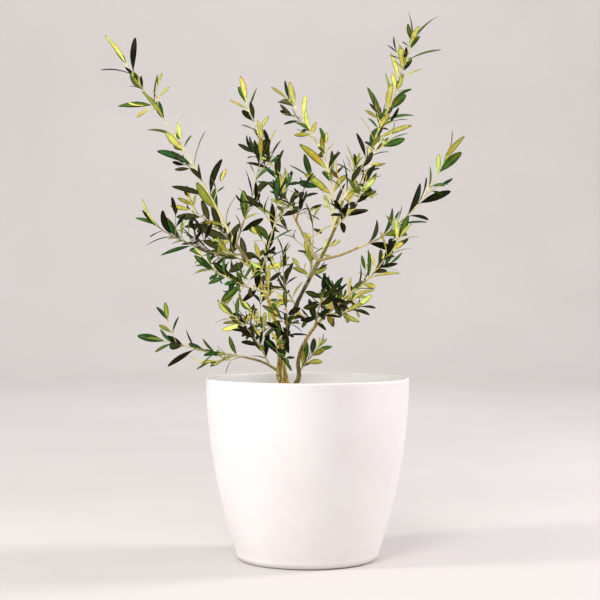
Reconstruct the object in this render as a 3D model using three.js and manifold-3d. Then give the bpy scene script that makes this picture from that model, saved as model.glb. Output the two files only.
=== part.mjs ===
// A young olive in a round white pot: the pot, its soil, the trunk, the boughs and one solid for each mass
// of foliage. Millimetres, +Z up, with the origin at the middle of the pot's flat underside.
import * as THREE from "three";
import Module from "manifold-3d";

const wasm = await Module();
wasm.setup();

// Pot
const POT_HEIGHT = 178;
const POT_RIM_RADIUS = 99.8;
const POT_TAPER = 31.9;
const POT_CURVE = 1.92;
const POT_FOOT_ROUND = 8;
const POT_FOOT_STEPS = 3;
const POT_WALL = 2.8;
const POT_FLOOR = 5;
const POT_CORNER = 1.4;
const POT_WALL_STEPS = 6;
const POT_INSIDE_STEPS = 3;
const POT_SIDES = 48;
const LIP_STEPS = 3;

// Soil
const SOIL_TOP = 150;
const SOIL_EDGE_DROP = 4;
const SOIL_DROP_MIDWAY = 0.35;
const SOIL_LEVEL_RADIUS = 30;
const CLEARANCE = 0.3;

// Trunk
const TRUNK_CUT = SOIL_TOP + CLEARANCE;
const TRUNK_FOOT = [-19, 0, TRUNK_CUT - 1];
const TRUNK_FORK = [-18, 0, 167];
const TRUNK_FOOT_RADIUS = 9.5;
const TRUNK_FORK_RADIUS = 4.8;
const TRUNK_FLARE_HEIGHT = 3.5;
const TRUNK_FLARE_LOBES = 5;
const TRUNK_LOBE_SHARE = 0.16;
const TRUNK_SIDES = 20;
const TRUNK_RINGS = [0, 0.14, 0.34, 1];
const STUB_START_HEIGHT = 160;
const STUB_SWELL = 1.1;

// Limbs and stems
const LIMB_SIDES = 8;
const LIMB_STEP = 18;
const STEM_SIDES = 3;
const STEM_SWELL = 1.2;
const STEM_FOOT_RADIUS = 0.85;
const STEM_RADIUS_PER_LENGTH = 0.0034;
const STEM_TIP_RADIUS = 0.45;
const ZIGZAG = 0.8;

// Side twigs
const TWIG_SPREAD = [36, 20];
const TWIG_LENGTH = [20, 18];
const TWIG_LIFT = 0.18;
const TWIG_BEND = 0.55;
const TWIG_ROOM = 1.7;
const TWIG_RADIUS = 0.75;
const TWIG_TIP_RADIUS = 0.42;
const TWIG_LEAF_SHARE = 0.86;
const TWIG_TRIES = 6;

// Leaves: each pair of numbers is a least value and what chance adds to it
const LEAF_SPREAD = [32, 24];
const TIP_LEAF_SPREAD = [12, 16];
const LEAF_JITTER = 16;
const LEAF_TURN = [2, 50];
const LEAF_LENGTH_SHARE = [0.64, 0.48];
const LEAF_TIP_SHARE = 0.95;
const LEAF_WIDTH_SHARE = [0.2, 0.07];
const LEAF_ARCH = [0.02, 0.09];
const LEAF_RIB_ALONG = 0.36;
const LEAF_RIB_SHARE = 0.03;
const LEAF_WIDE_PARTS = [
  { along: 0.34, half: 0.48 },
  { along: 0.7, half: 0.4 },
];
const LEAF_PAST_NODE = 0.3;
const LEAF_SUNK = 0.35;
const LEAF_TRIES = 9;
const LEAF_BALLS = [
  { along: 0.3, half: 0.42 },
  { along: 0.5, half: 0.5 },
  { along: 0.7, half: 0.42 },
  { along: 0.88, half: 0.24 },
  { along: 1, half: 0.1 },
];
const BALL_MARGIN = 0.45;
const OWN_LEAF_SHARE = 0.45;
const LIMB_BALL_STEP = 2.5;
const RIM_CLEAR = 3;

const MERGE_STEP = 0.02;
const DEGREE = Math.PI / 180;

// The trunk's three stubs, which the boughs go on from
const STUBS = {
  left: { tip: [-28, -4, 180], radius: 2.75 },
  right: { tip: [-22.2, 6.5, 181], radius: 2.4 },
  low_right: { tip: [-8.5, -1, 179], radius: 2.3 },
};

// Boughs: they leave a stub's tip, or their parent at a height, and bend off the straight line by the bow
const BOUGHS = [
  {
    name: "bough_left", from: "left",
    tip: [-72, -18, 312], bow: [14.8, 0, -0.7], radii: [2.65, 1.5],
  },
  {
    name: "bough_right", from: "right",
    tip: [35, 14, 353], bow: [-8.8, 0, 0], skew: 1.9, radii: [2.3, 1.4],
  },
  {
    name: "bough_low_right", from: "low_right",
    tip: [43, -15, 262], bow: [-17, 0, -2], radii: [2.1, 1.3],
  },
  {
    name: "bough_centre", from: "bough_right", height: 292,
    tip: [-15, 26, 342], bow: [0, 0, -2], radii: [1.45, 1.2],
  },
  {
    name: "bough_side", from: "bough_right", height: 294,
    tip: [50, -2, 306], bow: [2, 0, -1], radii: [1.35, 1.15],
  },
  {
    name: "bough_bottom_left", from: "bough_left", height: 184,
    tip: [-62, -16, 199], bow: [1.5, 0, 2], radii: [1.35, 1.05],
  },
];

// Masses of foliage: nodes is the count of leaf pairs on the main stem, bare its share below the first pair,
// turn the first pair's angle round the stem, twist how far every second pair is turned on from it, and twigs
// the count of side twigs
const MASSES = [
  {
    name: "foliage_top_left", from: "bough_left", tip: [-180, 5, 488], bow: [6.7, 0, -2.5],
    nodes: 12, bare: 0.06, leaf: 38, turn: 0, twist: 84, twigs: 0, seed: 3, shade: "light",
  },
  {
    name: "foliage_left_inner", from: "bough_left", height: 309, tip: [-44, -45, 391], bow: [1, 0, -2.2],
    nodes: 7, bare: 0.1, leaf: 28, turn: 50, twist: 85, twigs: 1, seed: 3, shade: "dark",
  },
  {
    name: "foliage_left_back", from: "bough_left", height: 305, tip: [-119, 48, 346], bow: [1, 0, 2],
    nodes: 7, bare: 0.12, leaf: 32, turn: 50, twist: 84, twigs: 0, seed: 1, shade: "dark",
  },
  {
    name: "foliage_left_front", from: "bough_left", height: 299, tip: [-143, -68, 325], bow: [0, 0, -8],
    nodes: 9, bare: 0.1, leaf: 32, turn: -25, twist: 82, twigs: 1, seed: 3, shade: "dark",
  },
  {
    name: "foliage_front_left_low", from: "bough_left", height: 262, tip: [-90, -92, 283], bow: [1.4, 0, -2],
    nodes: 7, bare: 0.12, leaf: 28, turn: 0, twist: 72, twigs: 1, seed: 3, shade: "light",
  },
  {
    name: "foliage_back_left_low", from: "bough_left", height: 228, tip: [-70, 68, 232], bow: [2, 0, -1],
    nodes: 6, bare: 0.12, leaf: 30, turn: 50, twist: 80, twigs: 1, seed: 4, shade: "dark",
  },
  {
    name: "foliage_left_foot", from: "bough_bottom_left", height: 190, tip: [-72, -34, 240], bow: [5, 0, 0],
    nodes: 8, bare: 0.1, leaf: 26, turn: 25, twist: 78, twigs: 0, seed: 3, shade: "light",
  },
  {
    name: "foliage_bottom_left", from: "bough_bottom_left", tip: [-137, -42, 215], bow: [1, 0, -2],
    nodes: 8, bare: 0.05, leaf: 30, turn: 0, twist: 82, twigs: 1, seed: 4, shade: "light",
  },
  {
    name: "foliage_back_left_high", from: "bough_left", height: 286, tip: [-96, 104, 322], bow: [-1, 0, -3],
    nodes: 7, bare: 0.14, leaf: 30, turn: 25, twist: 84, twigs: 0, seed: 2, shade: "dark",
  },
  {
    name: "foliage_back_left_mid", from: "bough_left", height: 255, tip: [-52, 106, 300], bow: [4, 0, 0],
    nodes: 6, bare: 0.16, leaf: 28, turn: 0, twist: 84, twigs: 0, seed: 2, shade: "dark",
  },
  {
    name: "foliage_front_left_mid", from: "bough_left", height: 276, tip: [-28, -78, 352], bow: [2.7, 0, -3],
    nodes: 7, bare: 0.14, leaf: 30, turn: 25, twist: 76, twigs: 1, seed: 4, shade: "olive",
  },
  {
    name: "foliage_left_sprig", from: "bough_left", height: 195, tip: [-30, -48, 216], bow: [0, 0, -2],
    nodes: 5, bare: 0.2, leaf: 24, turn: 50, twist: 80, twigs: 0, seed: 4, shade: "light",
  },
  {
    name: "foliage_top_right", from: "bough_right", tip: [102, -10, 506], bow: [3.7, 0, -4.9],
    nodes: 17, bare: 0.03, leaf: 36, turn: 0, twist: 84, twigs: 1, seed: 4, shade: "light",
  },
  {
    name: "foliage_top_middle", from: "bough_right", height: 317, tip: [-19, 66, 460], bow: [18, 0, -1],
    nodes: 11, bare: 0.08, leaf: 38, turn: 25, twist: 84, twigs: 1, seed: 1, shade: "light",
  },
  {
    name: "foliage_centre_high", from: "bough_centre", tip: [-62, 42, 454], bow: [2, 0, -7],
    nodes: 12, bare: 0.05, leaf: 30, turn: 25, twist: 84, twigs: 1, seed: 1, shade: "light",
  },
  {
    name: "foliage_centre_sprig", from: "bough_centre", height: 334, tip: [-3, -32, 364], bow: [0, 0, -1],
    nodes: 5, bare: 0.2, leaf: 24, turn: 0, twist: 78, twigs: 1, seed: 1, shade: "dark",
  },
  {
    name: "foliage_side_right", from: "bough_side", tip: [130, -40, 386], bow: [6, 0, -11],
    nodes: 8, bare: 0.05, leaf: 36, turn: 50, twist: 82, twigs: 0, seed: 1, shade: "light",
  },
  {
    name: "foliage_back_centre_low", from: "bough_right", height: 249, tip: [-34, 56, 288], bow: [0, 0, -3],
    nodes: 6, bare: 0.14, leaf: 26, turn: 0, twist: 78, twigs: 1, seed: 2, shade: "dark",
  },
  {
    name: "foliage_front_centre", from: "bough_right", height: 210, tip: [-20, -76, 246], bow: [2, 0, -3],
    nodes: 6, bare: 0.14, leaf: 26, turn: 0, twist: 78, twigs: 0, seed: 2, shade: "dark",
  },
  {
    name: "foliage_back_centre", from: "bough_right", height: 270, tip: [6, 118, 338], bow: [3, 0, -3],
    nodes: 7, bare: 0.12, leaf: 28, turn: -25, twist: 84, twigs: 1, seed: 2, shade: "dark",
  },
  {
    name: "foliage_front_right_high", from: "bough_right", height: 327, tip: [54, -72, 366], bow: [2, 0, -4],
    nodes: 7, bare: 0.12, leaf: 26, turn: 0, twist: 80, twigs: 0, seed: 3, shade: "olive",
  },
  {
    name: "foliage_back_right_high", from: "bough_right", height: 338, tip: [74, 92, 418], bow: [2, 0, -4],
    nodes: 7, bare: 0.12, leaf: 28, turn: 50, twist: 84, twigs: 0, seed: 4, shade: "light",
  },
  {
    name: "foliage_low_right_top", from: "bough_low_right", tip: [88, -35, 313], bow: [2.5, 0, -2.2],
    nodes: 10, bare: 0.05, leaf: 30, turn: 25, twist: 80, twigs: 1, seed: 3, shade: "olive",
  },
  {
    name: "foliage_low_right_back", from: "bough_low_right", height: 240, tip: [52, 44, 247], bow: [2, 0, -1],
    nodes: 6, bare: 0.12, leaf: 28, turn: 50, twist: 76, twigs: 0, seed: 2, shade: "dark",
  },
  {
    name: "foliage_low_right_in", from: "bough_low_right", height: 248, tip: [22, -62, 266], bow: [1, 0, -2],
    nodes: 6, bare: 0.14, leaf: 24, turn: 25, twist: 76, twigs: 1, seed: 2, shade: "light",
  },
  {
    name: "foliage_front_right", from: "bough_low_right", height: 228, tip: [14, -98, 262], bow: [-1, 0, -3],
    nodes: 6, bare: 0.14, leaf: 26, turn: 25, twist: 80, twigs: 0, seed: 4, shade: "dark",
  },
  {
    name: "foliage_back_right", from: "bough_low_right", height: 236, tip: [46, 92, 264], bow: [-1, 0, -2],
    nodes: 6, bare: 0.14, leaf: 28, turn: 0, twist: 82, twigs: 1, seed: 3, shade: "dark",
  },
  {
    name: "foliage_right_foot", from: "bough_low_right", height: 184, tip: [10, -8, 208], bow: [-1, 0, -2],
    nodes: 6, bare: 0.15, leaf: 24, turn: 50, twist: 72, twigs: 0, seed: 4, shade: "light",
  },
];

const COLOURS = {
  pot: 0xf2efec,
  soil: 0x4a3527,
  trunk: 0x8a6a36,
  bough: 0xa3834a,
  dark: 0x2f4a2c,
  olive: 0x76742f,
  light: 0x93a344,
};

// Vectors
const add = (a, b) => [a[0] + b[0], a[1] + b[1], a[2] + b[2]];
const sub = (a, b) => [a[0] - b[0], a[1] - b[1], a[2] - b[2]];
const times = (a, k) => [a[0] * k, a[1] * k, a[2] * k];
const dot = (a, b) => a[0] * b[0] + a[1] * b[1] + a[2] * b[2];
const cross = (a, b) => [a[1] * b[2] - a[2] * b[1], a[2] * b[0] - a[0] * b[2], a[0] * b[1] - a[1] * b[0]];
const unit = (a) => times(a, 1 / Math.sqrt(dot(a, a)));
const squared = (a, b) => dot(sub(a, b), sub(a, b));

// A seeded run of numbers from 0 to 1
function chance(seed) {
  let state = Math.imul(seed, 2654435761) >>> 0;
  return () => {
    state = (state + 0x6d2b79f5) >>> 0;
    let t = Math.imul(state ^ (state >>> 15), state | 1);
    t ^= t + Math.imul(t ^ (t >>> 7), t | 61);
    return ((t ^ (t >>> 14)) >>> 0) / 4294967296;
  };
}

const spanOf = (range, next) => range[0] + range[1] * next();

// The point at a share of the way along a bowed line, whose bow the skew moves towards its start
function bowed(start, tip, bow, t, skew = 0) {
  const straight = add(start, times(sub(tip, start), t));
  return add(straight, times(bow, 4 * t * (1 - t) * (1 + skew * (1 - 2 * t))));
}

// A direction at right angles to the given one that lies level with the front where it can
const sideways = (along) => unit(cross(along, Math.abs(along[1]) < 0.9 ? [0, 1, 0] : [1, 0, 0]));

// A solid from its points and triangles
function solid(points, faces) {
  return new wasm.Manifold(
    new wasm.Mesh({
      numProp: 3,
      vertProperties: new Float32Array(points.flat()),
      triVerts: new Uint32Array(faces.flat()),
    }),
  );
}

// A tapering tube along a line of points, with flat ends
function tube(line, radii, sides, shape = () => 1) {
  const points = [];
  const faces = [];
  let across = sideways(unit(sub(line[1], line[0])));
  line.forEach((centre, i) => {
    const before = line[Math.max(i - 1, 0)];
    const after = line[Math.min(i + 1, line.length - 1)];
    const along = unit(sub(after, before));
    across = unit(sub(across, times(along, dot(across, along))));
    const third = cross(along, across);
    for (let k = 0; k < sides; k++) {
      const angle = (2 * Math.PI * k) / sides;
      const radius = radii[i] * shape(i, angle);
      const out = add(times(across, Math.cos(angle)), times(third, Math.sin(angle)));
      points.push(add(centre, times(out, radius)));
    }
  });
  const last = (line.length - 1) * sides;
  for (let i = 0; i + 1 < line.length; i++) {
    for (let k = 0; k < sides; k++) {
      const a = i * sides + k;
      const b = i * sides + ((k + 1) % sides);
      faces.push([a, b, b + sides], [a, b + sides, a + sides]);
    }
  }
  for (let k = 1; k + 1 < sides; k++) {
    faces.push([0, k + 1, k], [last, last + k, last + k + 1]);
  }
  return solid(points, faces);
}

// The largest outer body of a solid, with what it seals inside filled
function oneBody(joined) {
  const bodies = joined.setTolerance(MERGE_STEP).decompose();
  return bodies.reduce((best, body) => (body.volume() > best.volume() ? body : best));
}

// Evenly stepped values from the foot's to the tip's
function tapered(count, foot, tip) {
  return Array.from({ length: count }, (_, i) => foot + ((tip - foot) * i) / (count - 1));
}

// Everything already placed, as balls: a new leaf or twig may not touch another owner's
const placed = [];

function placeLine(line, radii, owner) {
  for (let i = 0; i + 1 < line.length; i++) {
    const steps = Math.max(1, Math.ceil(Math.sqrt(squared(line[i], line[i + 1])) / LIMB_BALL_STEP));
    for (let k = 0; k < steps; k++) {
      const share = k / steps;
      const centre = add(line[i], times(sub(line[i + 1], line[i]), share));
      placed.push({ centre, radius: radii[i] + (radii[i + 1] - radii[i]) * share, owner });
    }
  }
  placed.push({ centre: line[line.length - 1], radius: radii[line.length - 1], owner });
}

const potOuter = (z) => POT_RIM_RADIUS - POT_TAPER * Math.pow(1 - z / POT_HEIGHT, POT_CURVE);

// True where a ball stands clear of the pot and soil
function clearOfPot(centre, radius) {
  if (centre[2] > POT_HEIGHT + RIM_CLEAR + radius) return true;
  const out = Math.sqrt(centre[0] * centre[0] + centre[1] * centre[1]);
  const inside = out + radius < potOuter(POT_HEIGHT) - POT_WALL - RIM_CLEAR;
  return inside && centre[2] - radius > SOIL_TOP + RIM_CLEAR;
}

// True where the balls touch nothing of another owner, and no leaf or stem of their own too closely
function fits(balls, owner) {
  return balls.every((ball) => {
    if (!clearOfPot(ball.centre, ball.radius)) return false;
    return placed.every((other) => {
      let reach = ball.radius + other.radius + BALL_MARGIN;
      if (other.owner === owner) {
        if (ball.root) return true;
        reach = (ball.radius + other.radius) * OWN_LEAF_SHARE;
      }
      return squared(ball.centre, other.centre) >= reach * reach;
    });
  });
}

// Limbs: the line and radii of each one by name, for whatever grows from it
const limbs = {};
const meshes = new THREE.Group();

function hang(name, geometry, color, roughness) {
  const node = new THREE.Mesh(geometry, new THREE.MeshStandardMaterial({ color, roughness, metalness: 0 }));
  node.name = name;
  meshes.add(node);
}

function addMesh(name, made, colour, roughness) {
  const mesh = made.getMesh();
  const geometry = new THREE.BufferGeometry();
  const position = new Float32Array(mesh.numVert * 3);
  for (let i = 0; i < mesh.numVert; i++) {
    position.set(mesh.vertProperties.subarray(i * mesh.numProp, i * mesh.numProp + 3), i * 3);
  }
  geometry.setAttribute("position", new THREE.BufferAttribute(position, 3));
  geometry.setIndex(new THREE.BufferAttribute(new Uint32Array(mesh.triVerts), 1));
  geometry.computeVertexNormals();
  hang(name, geometry, colour, roughness);
}

function addLathe(name, profile, colour, roughness) {
  const geometry = new THREE.LatheGeometry(profile.map(([r, z]) => new THREE.Vector2(r, z)), POT_SIDES);
  geometry.rotateX(Math.PI / 2);
  hang(name, geometry, colour, roughness);
}

// The pot's inside from the floor's corner to the lip: the radius and height at each step
function potInside() {
  const wallTop = POT_HEIGHT - POT_WALL / 2;
  return tapered(POT_INSIDE_STEPS + 1, POT_FLOOR, wallTop).map((z, i) => {
    return [potOuter(z) - POT_WALL - (i === 0 ? POT_CORNER : 0), z];
  });
}

// Pot: up the outside from the middle of the underside, over the rounded lip and down the inside
function buildPot() {
  const profile = [[0, 0]];
  const footWall = potOuter(POT_FOOT_ROUND);
  for (let i = 0; i <= POT_FOOT_STEPS; i++) {
    const angle = (90 * DEGREE * i) / POT_FOOT_STEPS;
    const r = footWall - POT_FOOT_ROUND * (1 - Math.sin(angle));
    profile.push([r, POT_FOOT_ROUND * (1 - Math.cos(angle))]);
  }
  const lip = POT_WALL / 2;
  const wallTop = POT_HEIGHT - lip;
  for (let i = 1; i <= POT_WALL_STEPS; i++) {
    const z = POT_FOOT_ROUND + ((wallTop - POT_FOOT_ROUND) * i) / POT_WALL_STEPS;
    profile.push([potOuter(z), z]);
  }
  for (let i = 1; i <= LIP_STEPS; i++) {
    const angle = (180 * DEGREE * i) / LIP_STEPS;
    profile.push([potOuter(wallTop) - lip + lip * Math.cos(angle), wallTop + lip * Math.sin(angle)]);
  }
  profile.push(...potInside().slice(0, -1).reverse(), [0, POT_FLOOR]);
  addLathe("pot", profile, COLOURS.pot, 0.35);
}

// Soil: a plug clear of the pot's floor and wall, level round the trunk and a little lower at the edge
function buildSoil() {
  const bottom = POT_FLOOR + CLEARANCE;
  const edge = SOIL_TOP - SOIL_EDGE_DROP;
  const inside = potInside();
  const radiusAt = (z) => {
    const i = inside.findIndex((station) => station[1] > z);
    const [[lowRadius, low], [highRadius, high]] = [inside[i - 1], inside[i]];
    return lowRadius + ((highRadius - lowRadius) * (z - low)) / (high - low) - CLEARANCE;
  };
  const between = inside.map((station) => station[1]).filter((z) => z > bottom && z < edge);
  const profile = [[0, bottom], ...[bottom, ...between, edge].map((z) => [radiusAt(z), z])];
  const midway = (radiusAt(edge) + SOIL_LEVEL_RADIUS) / 2;
  profile.push([midway, SOIL_TOP - SOIL_EDGE_DROP * SOIL_DROP_MIDWAY]);
  profile.push([SOIL_LEVEL_RADIUS, SOIL_TOP], [0, SOIL_TOP]);
  addLathe("soil", profile, COLOURS.soil, 0.95);
}

// Trunk: a lobed root flare, cut flat at the soil, that narrows to the fork and parts into three stubs
function buildTrunk() {
  const height = TRUNK_FORK[2] - TRUNK_FOOT[2];
  const line = TRUNK_RINGS.map((share) => add(TRUNK_FOOT, times(sub(TRUNK_FORK, TRUNK_FOOT), share)));
  const radii = TRUNK_RINGS.map((share) => {
    const flare = Math.exp((-share * height) / TRUNK_FLARE_HEIGHT);
    return TRUNK_FORK_RADIUS + (TRUNK_FOOT_RADIUS - TRUNK_FORK_RADIUS) * flare;
  });
  const lobes = (i, angle) => {
    return 1 + TRUNK_LOBE_SHARE * (1 - TRUNK_RINGS[i]) ** 3 * Math.cos(TRUNK_FLARE_LOBES * angle);
  };
  const parts = [tube(line, radii, TRUNK_SIDES, lobes)];
  for (const [name, stub] of Object.entries(STUBS)) {
    const start = [TRUNK_FORK[0], TRUNK_FORK[1], STUB_START_HEIGHT];
    const stubLine = [start, times(add(start, stub.tip), 0.5), stub.tip];
    const stubRadii = tapered(3, stub.radius * STUB_SWELL, stub.radius);
    parts.push(tube(stubLine, stubRadii, LIMB_SIDES));
    limbs[name] = { line: stubLine, radii: stubRadii };
    placeLine(stubLine, stubRadii, "trunk");
  }
  placeLine(line, radii, "trunk");
  const cut = wasm.Manifold.union(parts).trimByPlane([0, 0, 1], TRUNK_CUT);
  addMesh("trunk", oneBody(cut), COLOURS.trunk, 0.85);
}

// Where a limb starts: at its parent's tip, or on its parent's axis at a height
function startOf(row) {
  const { line } = limbs[row.from];
  if (row.height === undefined) return line[line.length - 1];
  const i = Math.max(1, line.findIndex((point) => point[2] >= row.height));
  const share = (row.height - line[i - 1][2]) / (line[i][2] - line[i - 1][2]);
  return add(line[i - 1], times(sub(line[i], line[i - 1]), share));
}

// The limb less a thicker and longer copy of its parent, so that it starts clear of the parent's side or tip
function cutFromParent(made, row) {
  const { line, radii } = limbs[row.from];
  const end = line[line.length - 1];
  const onward = times(unit(sub(end, line[line.length - 2])), CLEARANCE);
  const longer = [...line.slice(0, -1), add(end, onward)];
  return made.subtract(tube(longer, radii.map((radius) => radius + CLEARANCE), LIMB_SIDES));
}

function buildBough(row) {
  const start = startOf(row);
  const count = Math.max(3, Math.round(Math.sqrt(squared(start, row.tip)) / LIMB_STEP) + 1);
  const line = tapered(count, 0, 1).map((t) => bowed(start, row.tip, row.bow, t, row.skew));
  const radii = tapered(count, row.radii[0], row.radii[1]);
  limbs[row.name] = { line, radii };
  placeLine(line, radii, row.name);
  addMesh(row.name, oneBody(cutFromParent(tube(line, radii, LIMB_SIDES), row)), COLOURS.bough, 0.8);
}

// The main stem of a mass: its line bends a little at each leaf pair
function growStem(row) {
  const next = chance(row.seed);
  const start = startOf(row);
  const length = Math.sqrt(squared(start, row.tip));
  const shares = [0, row.bare / 2, row.bare];
  for (let i = 1; i < row.nodes; i++) shares.push(row.bare + ((1 - row.bare) * i) / (row.nodes - 1));
  const line = shares.map((t, i) => {
    const point = bowed(start, row.tip, row.bow, t);
    if (i < 3 || i === shares.length - 1) return point;
    return add(point, [ZIGZAG * (next() * 2 - 1), ZIGZAG * (next() * 2 - 1), ZIGZAG * (next() * 2 - 1)]);
  });
  const foot = STEM_FOOT_RADIUS + STEM_RADIUS_PER_LENGTH * length;
  const radii = shares.map((t) => (foot + (STEM_TIP_RADIUS - foot) * t) * STEM_SWELL);
  placeLine(line, radii, row.name);
  return { row, next, line, radii, twigs: [], leaves: [] };
}

// The direction at right angles to the stem that lies at an angle round it
function outward(along, angle) {
  const across = sideways(along);
  return add(times(across, Math.cos(angle)), times(cross(along, across), Math.sin(angle)));
}

const headingAt = (line, i) => unit(sub(line[Math.min(i + 1, line.length - 1)], line[Math.max(i - 1, 0)]));

// Side twigs: they leave the middle nodes of the stem, curve up a little and are left out where nothing fits
function growTwigs(stem) {
  const { row, next, line } = stem;
  for (let k = 0; k < row.twigs; k++) {
    for (let attempt = 0; attempt < TWIG_TRIES; attempt++) {
      const node = 3 + Math.floor(next() * (line.length - 5));
      const along = headingAt(line, node);
      const side = outward(along, 2 * Math.PI * next());
      const spread = spanOf(TWIG_SPREAD, next) * DEGREE;
      const length = spanOf(TWIG_LENGTH, next);
      const heading = add(times(along, Math.cos(spread)), times(side, Math.sin(spread)));
      const root = line[node];
      const tip = add(add(root, times(heading, length)), [0, 0, TWIG_LIFT * length]);
      const middle = add(root, times(heading, length * TWIG_BEND));
      const twigLine = [root, middle, tip];
      const radii = tapered(3, TWIG_RADIUS, TWIG_TIP_RADIUS);
      const outer = times(add(middle, tip), 0.5);
      const balls = [middle, outer, tip].map((centre) => ({ centre, radius: TWIG_ROOM }));
      if (fits(balls, row.name)) {
        stem.twigs.push({ line: twigLine, radii });
        placeLine(twigLine, radii, row.name);
        break;
      }
    }
  }
}

// One leaf on a node: the first try that touches nothing, or none
function growLeaf(stem, line, radii, node, angle, isTip, share) {
  const { row, next } = stem;
  const along = headingAt(line, node);
  const from = isTip ? line[node - 1] : line[node];
  const to = isTip ? line[node] : line[node + 1];
  const seat = add(from, times(sub(to, from), isTip ? 1 - LEAF_PAST_NODE / 2 : LEAF_PAST_NODE));
  for (let attempt = 0; attempt < LEAF_TRIES; attempt++) {
    const side = outward(along, angle + LEAF_JITTER * DEGREE * (2 * next() - 1));
    const spread = spanOf(isTip ? TIP_LEAF_SPREAD : LEAF_SPREAD, next) * DEGREE;
    const heading = add(times(along, Math.cos(spread)), times(side, Math.sin(spread)));
    const length = row.leaf * share * spanOf(LEAF_LENGTH_SHARE, next);
    const width = length * spanOf(LEAF_WIDTH_SHARE, next);
    const turn = spanOf(LEAF_TURN, next) * DEGREE * (next() < 0.5 ? -1 : 1);
    const arch = spanOf(LEAF_ARCH, next) * length;
    const face = unit(sub(along, times(heading, dot(along, heading))));
    const up = add(times(face, Math.cos(turn)), times(cross(heading, face), Math.sin(turn)));
    const root = sub(seat, times(heading, LEAF_SUNK * radii[node]));
    const at = (t) => add(add(root, times(heading, length * t)), times(up, 4 * arch * t * (1 - t)));
    const balls = LEAF_BALLS.map(({ along: t, half }, i) => {
      return { centre: at(t), radius: half * width, root: i === 0 };
    });
    if (fits(balls, row.name)) {
      balls.forEach(({ centre, radius }) => placed.push({ centre, radius, owner: row.name }));
      stem.leaves.push({ root, heading, up, length, width, at });
      return;
    }
  }
}

function growLeaves(stem) {
  const { row, line, radii } = stem;
  const last = line.length - 1;
  for (let node = 2; node <= last; node++) {
    const k = node - 2;
    const angle = (row.turn + row.twist * (k % 2)) * DEGREE;
    const share = 1 + (LEAF_TIP_SHARE - 1) * (k / (last - 2)) ** 2;
    growLeaf(stem, line, radii, node, angle, node === last, share);
    growLeaf(stem, line, radii, node, angle + Math.PI, node === last, share);
  }
  stem.twigs.forEach((twig, i) => {
    [1, 2].forEach((node) => {
      const angle = (row.turn + 90 * (node + i)) * DEGREE;
      growLeaf(stem, twig.line, twig.radii, node, angle, node === 2, TWIG_LEAF_SHARE);
      growLeaf(stem, twig.line, twig.radii, node, angle + Math.PI, node === 2, TWIG_LEAF_SHARE);
    });
  });
}

// A leaf: pointed at both ends, widest below the middle, with four faces above and six down to a rib below
function leafSolid({ root, heading, up, length, width, at }) {
  const across = cross(up, heading);
  const edge = ({ along, half }, side) => add(at(along), times(across, side * half * width));
  const [low, high] = LEAF_WIDE_PARTS;
  const rib = sub(at(LEAF_RIB_ALONG), times(up, LEAF_RIB_SHARE * length));
  const points = [root, edge(low, 1), edge(high, 1), at(1), edge(high, -1), edge(low, -1), rib];
  const above = [[0, 5, 1], [5, 4, 1], [1, 4, 2], [2, 4, 3]];
  const below = [0, 1, 2, 3, 4, 5].map((i) => [6, i, (i + 1) % 6]);
  return solid(points, [...above, ...below]);
}

function buildMass(stem) {
  const { row, line, radii, twigs, leaves } = stem;
  const bare = cutFromParent(tube(line, radii, STEM_SIDES), row);
  const parts = [oneBody(bare)];
  twigs.forEach((twig) => parts.push(tube(twig.line, twig.radii, STEM_SIDES)));
  leaves.forEach((leaf) => parts.push(leafSolid(leaf)));
  addMesh(row.name, oneBody(wasm.Manifold.union(parts)), COLOURS[row.shade], 0.6);
}

buildPot();
buildSoil();
buildTrunk();
BOUGHS.forEach(buildBough);
const stems = MASSES.map(growStem);
stems.forEach(growTwigs);
stems.forEach(growLeaves);
stems.forEach(buildMass);

export default meshes;
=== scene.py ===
"""A young olive in a round white pot: bark, twigs, leaves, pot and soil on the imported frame."""
import math
from dataclasses import dataclass

import bpy
import numpy as np
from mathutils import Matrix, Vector, noise


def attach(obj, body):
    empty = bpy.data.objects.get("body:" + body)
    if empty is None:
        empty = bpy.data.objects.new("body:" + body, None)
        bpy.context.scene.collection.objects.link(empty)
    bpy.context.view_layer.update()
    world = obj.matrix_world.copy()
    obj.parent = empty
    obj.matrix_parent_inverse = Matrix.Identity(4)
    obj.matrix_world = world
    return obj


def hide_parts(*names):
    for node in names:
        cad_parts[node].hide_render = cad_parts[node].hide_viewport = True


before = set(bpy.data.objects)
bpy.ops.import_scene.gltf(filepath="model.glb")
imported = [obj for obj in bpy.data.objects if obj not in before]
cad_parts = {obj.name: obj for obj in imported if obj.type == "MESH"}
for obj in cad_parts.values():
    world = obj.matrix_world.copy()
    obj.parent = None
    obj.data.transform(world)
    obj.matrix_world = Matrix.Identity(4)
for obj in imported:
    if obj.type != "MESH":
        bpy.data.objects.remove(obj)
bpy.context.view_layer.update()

MM = 0.001
DEGREE = math.pi / 180
WHOLE = 4294967296

# Camera, in metres: level but for a slight pitch, a little left of the pot's axis
CAMERA_PLACE = (-0.0074, -1.48, 0.2615)
CAMERA_PITCH = 89.725
CAMERA_LENS = 90.15
CAMERA_SENSOR = 36

# Pot, in millimetres: the sizes down to the floor's are the solids'
POT_HEIGHT = 178
POT_RIM_RADIUS = 99.8
POT_TAPER = 31.9
POT_CURVE = 1.92
POT_FOOT_ROUND = 8
POT_WALL = 2.8
POT_FLOOR = 5
POT_SIDES = 160
POT_FOOT_STEPS = 8
POT_WALL_STEPS = 59
POT_INSIDE_STEPS = 29
POT_AXIS_HOLE = 0.01
POT_FLAT_RADIUS = 30
POT_FLOOR_RADIUS = 55
POT_CORNER = (2, 1)
POT_INSIDE_LOW = POT_FLOOR + 4
POT_GLOW_DEPTH = 0.006
POT_GLOW_SPREAD = (1.0, 0.85, 0.75)
LIP_STEPS = 10

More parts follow.
